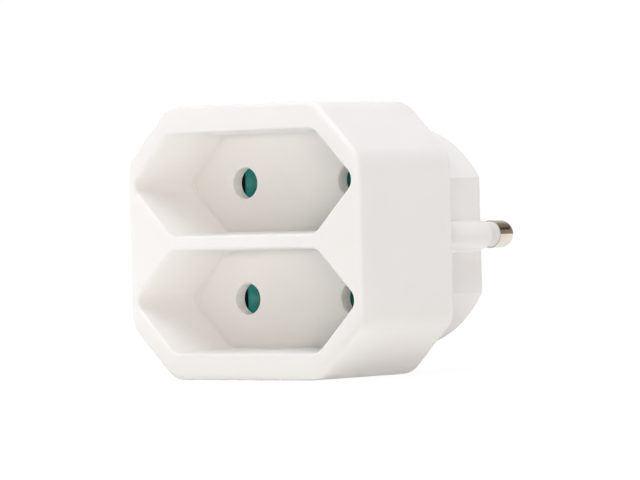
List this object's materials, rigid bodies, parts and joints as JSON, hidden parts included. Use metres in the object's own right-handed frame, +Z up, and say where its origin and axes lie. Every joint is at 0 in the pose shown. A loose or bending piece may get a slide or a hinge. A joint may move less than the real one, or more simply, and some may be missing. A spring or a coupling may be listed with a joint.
{
  "type": "multi socket adapter",
  "caption": "White wall plug adapter with stacked hexagonal socket recesses, sprung teal shutters behind the pin holes and sleeved round plug pins on a flat-sided boss",
  "frame": {"origin": "middle of the boss's rear face, halfway between the plug pins", "axes": "+X to the right as seen from the socket side, +Y along the plug pins into the wall, +Z up"},
  "size_m": [0.0412, 0.0486, 0.038],
  "materials": {
    "white_plastic": "smooth warm white moulding with a soft sheen",
    "carrier_plastic": "plain dark grey insulating moulding",
    "teal_plastic": "smooth teal moulding",
    "spring_steel": "drawn steel wire",
    "contact_brass": "stamped and folded brass sheet",
    "plated_brass": "turned brass with bright nickel plating",
    "sleeve_plastic": "white insulating sleeve with a satin surface"
  },
  "bodies": {
    "housing": {"front_housing": "white_plastic", "rear_cover": "white_plastic", "shutter_carrier": "carrier_plastic", "shutter_spring_upper": "spring_steel", "shutter_spring_lower": "spring_steel", "contact_strip_left": "contact_brass", "contact_strip_right": "contact_brass", "plug_pin_left": "plated_brass", "plug_pin_right": "plated_brass", "pin_sleeve_left": "sleeve_plastic", "pin_sleeve_right": "sleeve_plastic"},
    "upper_shutter": {"shutter_upper": "teal_plastic"},
    "lower_shutter": {"shutter_lower": "teal_plastic"}
  },
  "joints": [
    {"name": "shutter_upper_slide", "type": "slide", "parent": "housing", "child": "upper_shutter", "axis": [-1, 0, 0], "range_m": [0, 0.005], "stiffness_N_per_m": 80, "springref_m": -0.003, "deforming": ["shutter_spring_upper"]},
    {"name": "shutter_lower_slide", "type": "slide", "parent": "housing", "child": "lower_shutter", "axis": [-1, 0, 0], "range_m": [0, 0.005], "stiffness_N_per_m": 80, "springref_m": -0.003, "deforming": ["shutter_spring_lower"]}
  ]
}
